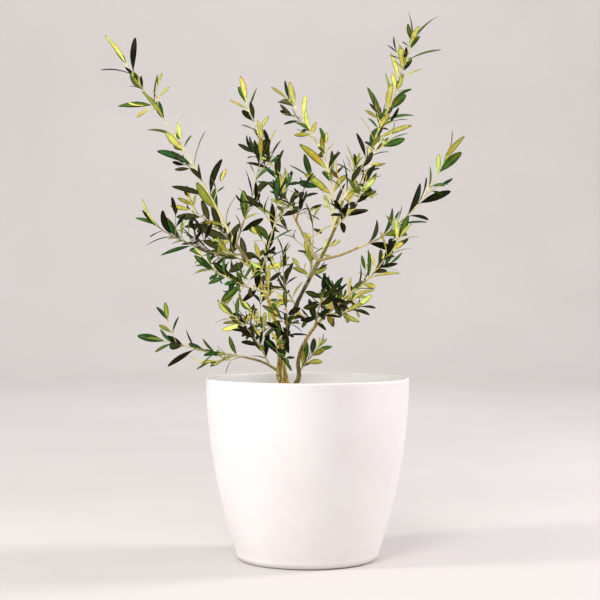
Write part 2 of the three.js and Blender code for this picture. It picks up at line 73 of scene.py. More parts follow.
# Faint lines below the lip, each with its height, depth and half width, and the fine band for them
MOULD_LINES = ((170.1, 0.1, 0.5), (165.5, 0.07, 0.5))
MOULD_BAND = (163, 172)
MOULD_STEPS = 40
MOULD_TO_LIP_STEPS = 5

# Soil: its lumps are layers of noise, each with its scale, its level and its share
SOIL_TOP = 150
SOIL_EDGE_DROP = 4
SOIL_EDGE_RADIUS = 94
SOIL_EDGE_CURVE = 1.5
SOIL_LEVEL_RADIUS = 30
SOIL_RINGS = 46
SOIL_SPOKES = 150
SOIL_SUNK = 0.8
SOIL_LUMP_HEIGHT = 0.96
SOIL_LUMPS = ((0.12, 1.7, 1), (0.4, 5.1, 0.6))
CLEARANCE = 0.3

# The soil's side, each ring with the height that gives its radius and the height where it lies
SOIL_SIDE = ((144, 140), (100, 100), (60, 60), (30, 30), (8, 6))
SOIL_SIDE_SHARE = 0.985

CRUMB_SEED = 701
CRUMB_REACH = 90
CRUMB_TRUNK_RADIUS = 11

# Crumbs, then chips: how many, sizes as a least value and what chance adds, most used material and its share
CRUMBS = (
    (1500, ((0.5, 1.1),) * 3, 0, 0.8),
    (260, ((2.2, 2.6), (1.2, 1.2), (0.6, 0.5)), 1, 0.75),
)

# Trunk
TRUNK_FOOT = (-19, 0, SOIL_TOP - 0.7)
TRUNK_FORK = (-18, 0, 167)
TRUNK_FOOT_RADIUS = 9.5
TRUNK_FORK_RADIUS = 4.8
TRUNK_FLARE_HEIGHT = 3.5
TRUNK_FLARE_LOBES = 5
TRUNK_LOBE_SHARE = 0.16
TRUNK_RINGS = (0, 0.14, 0.34, 1)
TRUNK_STEPS = 16
TRUNK_SIDES = 36
STUB_START_HEIGHT = 160
STUB_SWELL = 1.1

# Limbs and stems: the sizes down to the zigzag's are the source's
LIMB_STEP = 18
STEM_SWELL = 1.2
STEM_FOOT_RADIUS = 0.85
STEM_RADIUS_PER_LENGTH = 0.0034
STEM_TIP_RADIUS = 0.45
ZIGZAG = 0.8
ROUND_SHARE = 0.66
LIMB_SIDES = 18
SIDE_BOUGH_SIDES = 12
STEM_SIDES = 8
TWIG_SIDES = 6
RING_STEP = 1.6
STEM_RING_STEP = RING_STEP * 1.2
TWIG_RING_STEP = 2
POINT_REACH = 1.4
COLLAR_SWELL = 0.55
COLLAR_LENGTH = 3.2
TIP_COLLAR_LENGTH = 16
NODE_SWELL = 0.28
NODE_LENGTH = 1.1

# Barks: the pale, the middle and the dark colour, and the share of dark specks
BARKS = {
    "bark_yellow": ((0.88, 0.74, 0.17), (0.42, 0.29, 0.05), (0.06, 0.03, 0.01), 0.43),
    # The dark bark is painted shadow: near black, for the stretch of the right bough that lies in shade
    "bark_painted_shadow": ((0.12, 0.095, 0.035), (0.05, 0.038, 0.016), (0.02, 0.014, 0.008), 0.42),
    "bark_tan": ((0.78, 0.56, 0.2), (0.40, 0.25, 0.07), (0.09, 0.045, 0.018), 0.43),
    "bark_young": ((0.62, 0.50, 0.22), (0.42, 0.32, 0.12), (0.2, 0.13, 0.05), 0.36),
    "bark_olive": ((0.36, 0.31, 0.10), (0.19, 0.16, 0.055), (0.06, 0.045, 0.02), 0.4),
}
TWIG_BARKS = {
    "twig_olive": ((0.52, 0.45, 0.17), (0.30, 0.25, 0.08), (0.09, 0.06, 0.02), 0.36),
    "twig_cream": ((0.90, 0.82, 0.42), (0.74, 0.64, 0.27), (0.3, 0.2, 0.08), 0.31),
}
BARK_ORDER = list(BARKS)

# The bark of the main boughs, in bands from below, each with the height of its top
BARK_BANDS = {
    "bough_left": ((292, "bark_yellow"), (math.inf, "bark_olive")),
    # The right bough's middle band is painted shadow, where the bough lies in shade
    "bough_right": ((208, "bark_yellow"), (272, "bark_painted_shadow"), (math.inf, "bark_olive")),
    "bough_low_right": ((210, "bark_olive"), (math.inf, "bark_tan")),
}
BARK_RAGGED = 14
BARK_PATCH = 0.35
TRUNK_RELIEF = 0.35
BOUGH_RELIEF = 0.22
SIDE_BOUGH_RELIEF = 0.1
RELIEF_REACH = 3
RIDGE_SCALES = (0.5, 0.5, 0.09)
GRAIN_SCALE = 1.1
GRAIN_SHARE = 0.6

# Side twigs
TWIG_SPREAD = (36, 20)
TWIG_LENGTH = (20, 18)
TWIG_LIFT = 0.18
TWIG_BEND = 0.55
TWIG_ROOM = 1.7
TWIG_RADIUS = 0.75
TWIG_TIP_RADIUS = 0.42
TWIG_LEAF_SHARE = 0.86
TWIG_LEAF_PLACE = 0.7
TWIG_TRIES = 6

# Leaves: each pair of numbers is a least value and what chance adds to it
LEAF_SPREAD = (32, 24)
TIP_LEAF_SPREAD = (12, 16)
LEAF_JITTER = 16
LEAF_TURN = (2, 50)
LEAF_LENGTH_SHARE = (0.64, 0.48)
LEAF_TIP_SHARE = 0.95
LEAF_WIDTH_SHARE = (0.2, 0.07)
LEAF_ARCH = (0.02, 0.09)
LEAF_PAST_NODE = 0.3
LEAF_SUNK = 0.35
LEAF_TRIES = 9
LEAF_BALLS = ((0.3, 0.42), (0.5, 0.5), (0.7, 0.42), (0.88, 0.24), (1, 0.1))
BALL_MARGIN = 0.45
OWN_LEAF_SHARE = 0.45
LIMB_BALL_STEP = 2.5
RIM_CLEAR = 3

# Finer growth than the solids': short side shoots with small leaves, and buds in the leaf axils
SPRIG_SHARE = {"dark": 0.35, "olive": 0.18, "light": 0.25}
SPRIG_LENGTH = (9, 12)
SPRIG_RADIUS = 0.42
SPRIG_TAPER = (1.15, 1, 0.7)
SPRIG_SIDES = 5
SPRIG_SPREAD = (30, 25)
SPRIG_SEAT = 0.4
SPRIG_LIFT = 0.15
SPRIG_ROOM = 0.6
SPRIG_PLACE = 0.6
SPRIG_LEAVES = 4
SPRIG_LEAF = (12, 9)
SPRIG_LEAF_SPREAD = (34, 16)
SPRIG_TIP_CLOSER = 20
SPRIG_LEAF_JITTER = 0.3
SPRIG_LEAF_TURN = 120
SPRIG_LEAF_SUNK = 0.3
SPRIG_LEAF_WIDTH = 0.24
SPRIG_LEAF_ARCH = 0.05
BUD_LENGTH = 1.5
BUD_RADIUS = 0.45
BUD_RINGS = ((0, 0.7), (0.35, 1), (0.75, 0.7), (1, 0.15))

# A leaf's blade: the places of its rings and of its columns across, its outline and its thickness
BLADE_RINGS = (0.0, 0.045, 0.1, 0.2, 0.34, 0.5, 0.66, 0.8, 0.91, 0.97, 1.0)
RIB_COLUMN = 0.06
BLADE_COLUMNS = (-1.0, -0.66, -RIB_COLUMN, RIB_COLUMN, 0.66, 1.0)
BLADE_TIP_FROM = 8
BLADE_SKEW = 1.12
BLADE_BLUNTNESS = (0.86, 0.32)
BLADE_LEAST_HALF = 0.04
PETIOLE_END = 0.08
PETIOLE_HALF = 0.42
PETIOLE_THICK = 0.7
BLADE_THICK = 0.32
BLADE_UNDER_SHARE = 0.6
RIB_THICK = 0.55
THIN_PAST_TIP = 1.2
BLADE_FOLD = 0.3
BLADE_ROLL = 0.22
BLADE_TWIST = 26

# The trunk's stubs, each with its tip and its radius there
STUBS = {
    "left": ((-28, -4, 180), 2.75),
    "right": ((-22.2, 6.5, 181), 2.4),
    "low_right": ((-8.5, -1, 179), 2.3),
}


def bough(name, parent, tip, bow, radii, height=None, skew=0):
    row = {"name": name, "from": parent, "tip": tip, "bow": bow, "radii": radii}
    return {**row, "height": height, "skew": skew}


BOUGHS = (
    bough("bough_left", "left", (-72, -18, 312), (14.8, 0, -0.7), (2.65, 1.5)),
    bough("bough_right", "right", (35, 14, 353), (-8.8, 0, 0), (2.3, 1.4), skew=1.9),
    bough("bough_low_right", "low_right", (43, -15, 262), (-17, 0, -2), (2.1, 1.3)),
    bough("bough_centre", "bough_right", (-15, 26, 342), (0, 0, -2), (1.45, 1.2), 292),
    bough("bough_side", "bough_right", (50, -2, 306), (2, 0, -1), (1.35, 1.15), 294),
    bough("bough_bottom_left", "bough_left", (-62, -16, 199), (1.5, 0, 2), (1.35, 1.05), 184),
)

# Masses of foliage, with the source's sizes: name, bough, and the values named here; the shade sets the
# painted shade and light of their leaves
MASS_VALUES = ("height", "tip", "bow", "nodes", "bare", "leaf", "turn", "twist", "twigs", "seed", "shade")
MASS_ROWS = (
    ("top_left", "left", None, (-180, 5, 488), (6.7, 0, -2.5), 12, 0.06, 38, 0, 84, 0, 3, "light"),
    ("left_inner", "left", 309, (-44, -45, 391), (1, 0, -2.2), 7, 0.1, 28, 50, 85, 1, 3, "dark"),
    ("left_back", "left", 305, (-119, 48, 346), (1, 0, 2), 7, 0.12, 32, 50, 84, 0, 1, "dark"),
    ("left_front", "left", 299, (-143, -68, 325), (0, 0, -8), 9, 0.1, 32, -25, 82, 1, 3, "dark"),
    ("front_left_low", "left", 262, (-90, -92, 283), (1.4, 0, -2), 7, 0.12, 28, 0, 72, 1, 3, "light"),
    ("back_left_low", "left", 228, (-70, 68, 232), (2, 0, -1), 6, 0.12, 30, 50, 80, 1, 4, "dark"),
    ("left_foot", "bottom_left", 190, (-72, -34, 240), (5, 0, 0), 8, 0.1, 26, 25, 78, 0, 3, "light"),
    ("bottom_left", "bottom_left", None, (-137, -42, 215), (1, 0, -2), 8, 0.05, 30, 0, 82, 1, 4, "light"),
    ("back_left_high", "left", 286, (-96, 104, 322), (-1, 0, -3), 7, 0.14, 30, 25, 84, 0, 2, "dark"),
    ("back_left_mid", "left", 255, (-52, 106, 300), (4, 0, 0), 6, 0.16, 28, 0, 84, 0, 2, "dark"),
    ("front_left_mid", "left", 276, (-28, -78, 352), (2.7, 0, -3), 7, 0.14, 30, 25, 76, 1, 4, "olive"),
    ("left_sprig", "left", 195, (-30, -48, 216), (0, 0, -2), 5, 0.2, 24, 50, 80, 0, 4, "light"),
    ("top_right", "right", None, (102, -10, 506), (3.7, 0, -4.9), 17, 0.03, 36, 0, 84, 1, 4, "light"),
    ("top_middle", "right", 317, (-19, 66, 460), (18, 0, -1), 11, 0.08, 38, 25, 84, 1, 1, "light"),
    ("centre_high", "centre", None, (-62, 42, 454), (2, 0, -7), 12, 0.05, 30, 25, 84, 1, 1, "light"),
    ("centre_sprig", "centre", 334, (-3, -32, 364), (0, 0, -1), 5, 0.2, 24, 0, 78, 1, 1, "dark"),
    ("side_right", "side", None, (130, -40, 386), (6, 0, -11), 8, 0.05, 36, 50, 82, 0, 1, "light"),
    ("back_centre_low", "right", 249, (-34, 56, 288), (0, 0, -3), 6, 0.14, 26, 0, 78, 1, 2, "dark"),
    ("front_centre", "right", 210, (-20, -76, 246), (2, 0, -3), 6, 0.14, 26, 0, 78, 0, 2, "dark"),
    ("back_centre", "right", 270, (6, 118, 338), (3, 0, -3), 7, 0.12, 28, -25, 84, 1, 2, "dark"),
    ("front_right_high", "right", 327, (54, -72, 366), (2, 0, -4), 7, 0.12, 26, 0, 80, 0, 3, "olive"),
    ("back_right_high", "right", 338, (74, 92, 418), (2, 0, -4), 7, 0.12, 28, 50, 84, 0, 4, "light"),
    ("low_right_top", "low_right", None, (88, -35, 313), (2.5, 0, -2.2), 10, 0.05, 30, 25, 80, 1, 3, "olive"),
    ("low_right_back", "low_right", 240, (52, 44, 247), (2, 0, -1), 6, 0.12, 28, 50, 76, 0, 2, "dark"),
    ("low_right_in", "low_right", 248, (22, -62, 266), (1, 0, -2), 6, 0.14, 24, 25, 76, 1, 2, "light"),
    ("front_right", "low_right", 228, (14, -98, 262), (-1, 0, -3), 6, 0.14, 26, 25, 80, 0, 4, "dark"),
    ("back_right", "low_right", 236, (46, 92, 264), (-1, 0, -2), 6, 0.14, 28, 0, 82, 1, 3, "dark"),
    ("right_foot", "low_right", 184, (10, -8, 208), (-1, 0, -2), 6, 0.15, 24, 50, 72, 0, 4, "light"),
)
MASSES = [
    {"name": "foliage_" + name, "from": "bough_" + parent, **dict(zip(MASS_VALUES, values))}
    for name, parent, *values in MASS_ROWS
]

# Leaf tints: the slot, the colour above and the colour below
TINTS = {
    # The deep tint is painted shade: near black above and below, for leaves that lie in shadow
    "deep": ("leaf_dark", (0.011, 0.015, 0.0035), (0.058, 0.062, 0.016)),
    # The green tint's upper side is painted sunlight, the vivid green of a lit leaf; its lower side is the
    # leaf's own pale underside
    "green": ("leaf_dark", (0.022, 0.085, 0.018), (0.40, 0.44, 0.06)),
    "olive": ("leaf_olive", (0.022, 0.032, 0.005), (0.60, 0.54, 0.08)),
    # This tint is painted light: the pale yellow-green glow of leaves lit from behind and in full light
    "bright": ("leaf_light", (0.065, 0.14, 0.018), (0.95, 0.93, 0.22)),
    "gold": ("leaf_olive", (0.07, 0.08, 0.02), (0.92, 0.78, 0.2)),
}
TINT_SEED = 940

# The share of each tint, in their order, among the sprays of a shade: painted shade for the dark masses that
# lie in shadow, painted light for the light ones
SHADE_SHARES = {
    "dark": (0.60, 0.10, 0.18, 0.11, 0.01),
    "olive": (0.36, 0.10, 0.23, 0.28, 0.03),
    "light": (0.28, 0.15, 0.14, 0.39, 0.04),
}

# How a tint's share grows or shrinks from the foot of a shoot to its tip: the lit tints, painted light, grow
# towards the tip
LIT_TINTS = ("bright", "gold")
LIT_WEIGHT = (0.4, 2.4)
PLAIN_WEIGHT = (1.1, -0.4)

# A leaf's skin: gloss, shine, and the warmer and fresher leans of its tint above and below
SKINS = {
    "above": {"rough": 0.46, "shine": 0.04, "leans": ((1.5, 0.82, 0.6), (0.6, 1.15, 1.35))},
    "below": {"rough": 0.66, "shine": 0.12, "leans": ((1.1, 0.88, 0.75), (0.8, 1.12, 1.05))},
}
LEAF_LEAN_SCALE = 42
LEAF_CLOUDS = ((0.3, 0.7), (0.52, 1), (0.72, 1.3))
LEAF_GLOSS_RANGE = (-0.06, 0.08)
MARGIN_SHARE = 0.5
RIB_MIX = 0.22
RIB_LIFT = 1.2

# Floor and walls of the stage, in metres, and the lights: place, target, power, size and colour
FLOOR_RADII = (0.001, 0.6, 3.0)
FLOOR_CORNER = 1.0
FLOOR_CORNER_STEPS = 16
FLOOR_TOP = 1.7
FLOOR_SIDES = 96
FLOOR_TONES = ((0.61, 0.585, 0.572), (0.64, 0.615, 0.602))
LIGHTS = {
    "key": ((-1.9, -0.7, 1.1), (0, 0, 0.2), 24.2, 0.5, (1.0, 0.985, 0.95)),
    "rim": ((1.5, 0.3, 1.0), (0, 0, 0.2), 18, 0.6, (1.0, 0.95, 0.96)),
    "fill": ((-0.5, -1.7, 1.9), (0, 0, 0.25), 22, 0.8, (1.0, 0.98, 0.97)),
    "wall": ((0, 1.6, 2.2), (0, 4, 0.9), 26, 1.2, (1.0, 0.985, 0.98)),
}
WORLD_COLOUR = (1.0, 0.975, 0.98, 1)
WORLD_STRENGTH = 0.75


# Vectors
def add(a, b):
    return (a[0] + b[0], a[1] + b[1], a[2] + b[2])


def sub(a, b):
    return (a[0] - b[0], a[1] - b[1], a[2] - b[2])


def times(a, k):
    return (a[0] * k, a[1] * k, a[2] * k)


def dot(a, b):
    return a[0] * b[0] + a[1] * b[1] + a[2] * b[2]


def cross(a, b):
    return (a[1] * b[2] - a[2] * b[1], a[2] * b[0] - a[0] * b[2], a[0] * b[1] - a[1] * b[0])


def unit(a):
    return times(a, 1 / math.sqrt(dot(a, a)))


def distance(a, b):
    return math.sqrt(dot(sub(a, b), sub(a, b)))


class Chance:
    """The source's seeded run of numbers from 0 to 1."""

    def __init__(self, seed):
        self.state = seed * 2654435761 % WHOLE

    def __call__(self):
        self.state = (self.state + 0x6D2B79F5) % WHOLE
        t = (self.state ^ (self.state >> 15)) * (self.state | 1) % WHOLE
        t ^= (t + (t ^ (t >> 7)) * (t | 61)) % WHOLE
        return (t ^ (t >> 14)) / WHOLE


def span_of(pair, chance):
    return pair[0] + pair[1] * chance()


def part_way(a, b, share):
    return add(a, times(sub(b, a), share))


def swung(a, b, angle):
    """The direction that starts at a and swings towards b by the angle."""
    return add(times(a, math.cos(angle)), times(b, math.sin(angle)))


def bowed(start, tip, bow, t, skew=0):
    return add(part_way(start, tip, t), times(bow, 4 * t * (1 - t) * (1 + skew * (1 - 2 * t))))


def sideways(along):
    return unit(cross(along, (0, 1, 0) if abs(along[1]) < 0.9 else (1, 0, 0)))


def tapered(count, foot, tip):
    return [foot + ((tip - foot) * i) / (count - 1) for i in range(count)]


def heading_at(line, i):
    return unit(sub(line[min(i + 1, len(line) - 1)], line[max(i - 1, 0)]))


def outward(along, angle):
    across = sideways(along)
    return swung(across, cross(along, across), angle)


def pot_outer(z):
    return POT_RIM_RADIUS - POT_TAPER * (1 - z / POT_HEIGHT) ** POT_CURVE


def ring(radius, z, sides):
    """The points of a level circle round the pot's axis."""
    turns = [2 * math.pi * k / sides for k in range(sides)]
    return [(radius * math.cos(turn), radius * math.sin(turn), z) for turn in turns]


def bands(count, sides, base=0, turned=False):
    """The faces between rings of points that follow one another; turned, they face the other way."""
    faces = []
    for i in range(count - 1):
        for k in range(sides):
            a, b = base + i * sides + k, base + i * sides + (k + 1) % sides
            faces.append((a, a + sides, b + sides, b) if turned else (a, b, b + sides, a + sides))
    return faces


class Placed:
    """Everything already grown, as balls: what comes next may not touch another owner's."""

    def __init__(self, most=20000):
        self.balls = np.zeros((most, 4))
        self.owners = np.zeros(most, dtype=int)
        self.count = 0
        self.names = {}

    def owner(self, name):
        return self.names.setdefault(name, len(self.names))

    def put(self, centre, radius, name):
        self.balls[self.count] = (*centre, radius)
        self.owners[self.count] = self.owner(name)
        self.count += 1

    def put_line(self, line, radii, name):
        for i in range(len(line) - 1):
            steps = max(1, math.ceil(distance(line[i], line[i + 1]) / LIMB_BALL_STEP))
            for k in range(steps):
                share = k / steps
                centre = part_way(line[i], line[i + 1], share)
                self.put(centre, radii[i] + (radii[i + 1] - radii[i]) * share, name)
        self.put(line[-1], radii[-1], name)

    def fits(self, balls, name):
        owner = self.owner(name)
        balls_there = self.balls[: self.count]
        own = self.owners[: self.count] == owner
        for centre, radius, is_root in balls:
            if not clear_of_pot(centre, radius):
                return False
            d = balls_there[:, :3] - centre
            squared = d[:, 0] * d[:, 0] + d[:, 1] * d[:, 1] + d[:, 2] * d[:, 2]
            both = radius + balls_there[:, 3]
            reach = np.where(own, 0.0 if is_root else both * OWN_LEAF_SHARE, both + BALL_MARGIN)
            if (squared < reach * reach).any():
                return False
        return True


def clear_of_pot(centre, radius):
    if centre[2] > POT_HEIGHT + RIM_CLEAR + radius:
        return True
    out = math.sqrt(centre[0] * centre[0] + centre[1] * centre[1])
    inside = out + radius < pot_outer(POT_HEIGHT) - POT_WALL - RIM_CLEAR
    return inside and centre[2] - radius > SOIL_TOP + RIM_CLEAR


placed = Placed()
limbs = {}


def start_of(row):
    line, _ = limbs[row["from"]]
    if row["height"] is None:
        return line[-1]
    i = max(1, next(k for k, point in enumerate(line) if point[2] >= row["height"]))
    share = (row["height"] - line[i - 1][2]) / (line[i][2] - line[i - 1][2])
    return part_way(line[i - 1], line[i], share)


def grow_limbs():
    """The stubs, the trunk and the boughs, in the source's order."""
    for name, (tip, radius) in STUBS.items():
        start = (*TRUNK_FORK[:2], STUB_START_HEIGHT)
        line = [start, times(add(start, tip), 0.5), tip]
        limbs[name] = (line, tapered(3, radius * STUB_SWELL, radius))
        placed.put_line(*limbs[name], "trunk")
    placed.put_line(trunk_line(TRUNK_RINGS), [trunk_radius(share) for share in TRUNK_RINGS], "trunk")
    for row in BOUGHS:
        start = start_of(row)
        count = max(3, math.floor(distance(start, row["tip"]) / LIMB_STEP + 0.5) + 1)
        line = [bowed(start, row["tip"], row["bow"], t, row["skew"]) for t in tapered(count, 0, 1)]
        limbs[row["name"]] = (line, tapered(count, *row["radii"]))
        placed.put_line(*limbs[row["name"]], row["name"])


def trunk_line(shares):
    return [part_way(TRUNK_FOOT, TRUNK_FORK, share) for share in shares]


def trunk_radius(share):
    height = TRUNK_FORK[2] - TRUNK_FOOT[2]
    flare = math.exp(-share * height / TRUNK_FLARE_HEIGHT)
    return TRUNK_FORK_RADIUS + (TRUNK_FOOT_RADIUS - TRUNK_FORK_RADIUS) * flare


class Stem:
    """One mass of foliage: its main stem, and the twigs and leaves that chance gives it."""

    def __init__(self, row):
        self.row = row
        self.chance = Chance(row["seed"])
        self.twigs = []
        self.leaves = []
        start = start_of(row)
        length = distance(start, row["tip"])
        bare = row["bare"]
        shares = [0, bare / 2, bare]
        shares += [bare + (1 - bare) * i / (row["nodes"] - 1) for i in range(1, row["nodes"])]
        self.line = []
        for i, t in enumerate(shares):
            point = bowed(start, row["tip"], row["bow"], t)
            if 3 <= i < len(shares) - 1:
                shift = [ZIGZAG * (self.chance() * 2 - 1) for _ in range(3)]
                point = add(point, shift)
            self.line.append(point)
        foot = STEM_FOOT_RADIUS + STEM_RADIUS_PER_LENGTH * length
        self.radii = [(foot + (STEM_TIP_RADIUS - foot) * t) * STEM_SWELL for t in shares]
        placed.put_line(self.line, self.radii, row["name"])

    def grow_twigs(self):
        for _ in range(self.row["twigs"]):
            for _ in range(TWIG_TRIES):
                if self.try_twig():
                    break

    def try_twig(self):
        chance = self.chance
        node = 3 + math.floor(chance() * (len(self.line) - 5))
        along = heading_at(self.line, node)
        side = outward(along, 2 * math.pi * chance())
        spread = span_of(TWIG_SPREAD, chance) * DEGREE
        length = span_of(TWIG_LENGTH, chance)
        heading = swung(along, side, spread)
        root = self.line[node]
        tip = add(add(root, times(heading, length)), (0, 0, TWIG_LIFT * length))
        middle = add(root, times(heading, length * TWIG_BEND))
        outer = times(add(middle, tip), 0.5)
        if not placed.fits([(centre, TWIG_ROOM, False) for centre in (middle, outer, tip)], self.row["name"]):
            return False
        twig = ([root, middle, tip], tapered(3, TWIG_RADIUS, TWIG_TIP_RADIUS))
        self.twigs.append(twig)
        placed.put_line(*twig, self.row["name"])
        return True

    def grow_leaf(self, line, radii, node, angle, is_tip, share, place, spray):
        along = heading_at(line, node)
        low, high = (line[node - 1], line[node]) if is_tip else (line[node], line[node + 1])
        past = 1 - LEAF_PAST_NODE / 2 if is_tip else LEAF_PAST_NODE
        seat = part_way(low, high, past)
        for _ in range(LEAF_TRIES):
            leaf = self.try_leaf(along, seat, radii[node], angle, is_tip, share)
            balls = [(leaf.at(t), half * leaf.width, i == 0) for i, (t, half) in enumerate(LEAF_BALLS)]
            if placed.fits(balls, self.row["name"]):
                for centre, radius, _ in balls:
                    placed.put(centre, radius, self.row["name"])
                leaf.place = place
                leaf.spray = spray
                self.leaves.append(leaf)
                return

    def try_leaf(self, along, seat, radius, angle, is_tip, share):
        chance = self.chance
        side = outward(along, angle + LEAF_JITTER * DEGREE * (2 * chance() - 1))
        spread = span_of(TIP_LEAF_SPREAD if is_tip else LEAF_SPREAD, chance) * DEGREE
        heading = swung(along, side, spread)
        length = self.row["leaf"] * share * span_of(LEAF_LENGTH_SHARE, chance)
        width = length * span_of(LEAF_WIDTH_SHARE, chance)
        turn = span_of(LEAF_TURN, chance) * DEGREE
        turn *= -1 if chance() < 0.5 else 1
        arch = span_of(LEAF_ARCH, chance) * length
        face = unit(sub(along, times(heading, dot(along, heading))))
        up = swung(face, cross(heading, face), turn)
        return Leaf(sub(seat, times(heading, LEAF_SUNK * radius)), heading, up, length, width, arch)

    def grow_leaves(self):
        row = self.row
        last = len(self.line) - 1
        for node in range(2, last + 1):
            k = node - 2
            angle = (row["turn"] + row["twist"] * (k % 2)) * DEGREE
            share = 1 + (LEAF_TIP_SHARE - 1) * (k / (last - 2)) ** 2
            for turned in (angle, angle + math.pi):
                self.grow_leaf(self.line, self.radii, node, turned, node == last, share, k / (last - 2), k)
        for i, (line, radii) in enumerate(self.twigs):
            for node in (1, 2):
                angle = (row["turn"] + 90 * (node + i)) * DEGREE
                traits = (TWIG_LEAF_SHARE, TWIG_LEAF_PLACE, -1 - i)
                for turned in (angle, angle + math.pi):
                    self.grow_leaf(line, radii, node, turned, node == 2, *traits)


@dataclass
class Leaf:
    """A leaf's own line from its root to its tip, with its place along the stem and its spray."""

    root: tuple
    heading: tuple
    up: tuple
    length: float
    width: float
    arch: float
    place: float = 0.0
    spray: int = 0

    def at(self, t):
        straight = add(self.root, times(self.heading, self.length * t))
        return add(straight, times(self.up, 4 * self.arch * t * (1 - t)))


def smooth_mesh(name, points, faces):
    mesh = bpy.data.meshes.new(name)
    mesh.from_pydata(points, [], faces)
    mesh.polygons.foreach_set("use_smooth", [True] * len(faces))
    return mesh


def new_object(name, data):
    thing = bpy.data.objects.new(name, data)
    bpy.context.scene.collection.objects.link(thing)
    return thing


class Mesher:
    """Points, faces and the material number of each face, gathered into one mesh."""

    def __init__(self):
        self.points = []
        self.faces = []
        self.numbers = []

    def add(self, points, faces, numbers):
        base = len(self.points)
        self.points.extend(points)
        self.faces.extend(tuple(base + i for i in face) for face in faces)
        self.numbers.extend(numbers)

    def piece(self, name, materials):
        mesh = smooth_mesh(name, [times(p, MM) for p in self.points], self.faces)
        for material in materials:
            mesh.materials.append(material)
        mesh.polygons.foreach_set("material_index", self.numbers)
        mesh.update()
        return new_object(name, mesh)


def smooth_line(line, radii, step):
    """The line and radii at close, even steps on a smooth curve through the points."""
    points, sizes = [], []
    for i in range(len(line) - 1):
        before = line[max(i - 1, 0)]
        after = line[min(i + 2, len(line) - 1)]
        count = max(1, math.ceil(distance(line[i], line[i + 1]) / step))
        for k in range(count):
            t = k / count
            points.append(between(before, line[i], line[i + 1], after, t))
            sizes.append(radii[i] + (radii[i + 1] - radii[i]) * t)
    return points + [line[-1]], sizes + [radii[-1]]


def between(a, b, c, d, t):
    """Catmull-Rom: the point at t from b to c."""
    square, cube = t * t, t * t * t
    weights = (
        0.5 * (-cube + 2 * square - t),
        0.5 * (3 * cube - 5 * square + 2),
        0.5 * (-3 * cube + 4 * square + t),
        0.5 * (cube - square),
    )
    return tuple(sum(w * p[axis] for w, p in zip(weights, (a, b, c, d))) for axis in range(3))


def add_tube(mesher, line, radii, sides, number, relief=None, point_end=False):
    """A tube round the line; relief gives a point's extra radius from its place and angle."""
    points = []
    across = sideways(unit(sub(line[1], line[0])))
    for i, centre in enumerate(line):
        along = heading_at(line, i)
        across = unit(sub(across, times(along, dot(across, along))))
        third = cross(along, across)
        for k in range(sides):
            angle = 2 * math.pi * k / sides
            out = swung(across, third, angle)
            radius = radii[i] + (relief(centre, out, angle, i) if relief else 0)
            points.append(add(centre, times(out, radius)))
    last = (len(line) - 1) * sides
    faces = bands(len(line), sides)
    faces.append(tuple(reversed(range(sides))))
    if point_end:
        points.append(add(line[-1], times(heading_at(line, len(line) - 1), radii[-1] * POINT_REACH)))
        faces += [(last + k, last + (k + 1) % sides, len(points) - 1) for k in range(sides)]
    else:
        faces.append(tuple(range(last, last + sides)))
    numbers = [number(points[face[0]]) if callable(number) else number for face in faces]
    mesher.add(points, faces, numbers)


def blade_half(t):
    """The half width at t along a leaf, as a share of its width: narrow at the foot, blunt at the tip."""
    if t <= PETIOLE_END:
        return 0.0
    u = (t - PETIOLE_END) / (1 - PETIOLE_END)
    blunt = BLADE_BLUNTNESS[0] - BLADE_BLUNTNESS[1] * u
    return 0.5 * max(0.0, math.sin(math.pi * u**BLADE_SKEW)) ** blunt


def add_leaf(mesher, leaf, twist):
    """A folded blade: numbers 0 to 5 are the upper and lower side, their ribs and their margins."""
    points, faces, numbers = [], [], []
    columns = len(BLADE_COLUMNS)
    side_way = cross(leaf.up, leaf.heading)
    for t in BLADE_RINGS:
        centre = leaf.at(t)
        turn = twist * DEGREE * t
        across = swung(side_way, leaf.up, turn)
        up = sub(times(leaf.up, math.cos(turn)), times(side_way, math.sin(turn)))
        is_stalk = t <= PETIOLE_END
        half = PETIOLE_HALF if is_stalk else max(blade_half(t) * leaf.width, BLADE_LEAST_HALF)
        thick = PETIOLE_THICK if is_stalk else BLADE_THICK * (THIN_PAST_TIP - t)
        rib = PETIOLE_THICK if is_stalk else RIB_THICK * (THIN_PAST_TIP - t)
        top, under = [], []
        for column in BLADE_COLUMNS:
            side = abs(column)
            lift = 0 if is_stalk else half * (BLADE_FOLD * side - BLADE_ROLL * side**4)
            place = add(centre, add(times(across, column * half), times(up, lift)))
            top.append(place)
            if side < 1:
                depth = rib if side == RIB_COLUMN else thick * BLADE_UNDER_SHARE
                under.append(sub(place, times(up, depth)))
        points += top + under
    for i in range(len(BLADE_RINGS) - 1):
        low = i * (2 * columns - 2)
        high = low + 2 * columns - 2
        lower = [0, *range(columns, 2 * columns - 2), columns - 1]
        for k in range(columns - 1):
            faces.append((low + k, high + k, high + k + 1, low + k + 1))
            faces.append((low + lower[k + 1], high + lower[k + 1], high + lower[k], low + lower[k]))
            is_stalk = BLADE_RINGS[i] <= PETIOLE_END
            is_rib = k == columns // 2 - 1
            is_margin = k in (0, columns - 2) or i >= BLADE_TIP_FROM
            numbers += [3, 3] if is_stalk else [2, 3] if is_rib else [4, 5] if is_margin else [0, 1]
    mesher.add(points, faces, numbers)


# Materials
def new_material(name):
    material = bpy.data.materials.new(name)
    material.use_nodes = True
    tree = material.node_tree
    return material, tree, tree.nodes["Principled BSDF"]


def set_inputs(node, values):
    for name, value in values.items():
        node.inputs[name].default_value = value


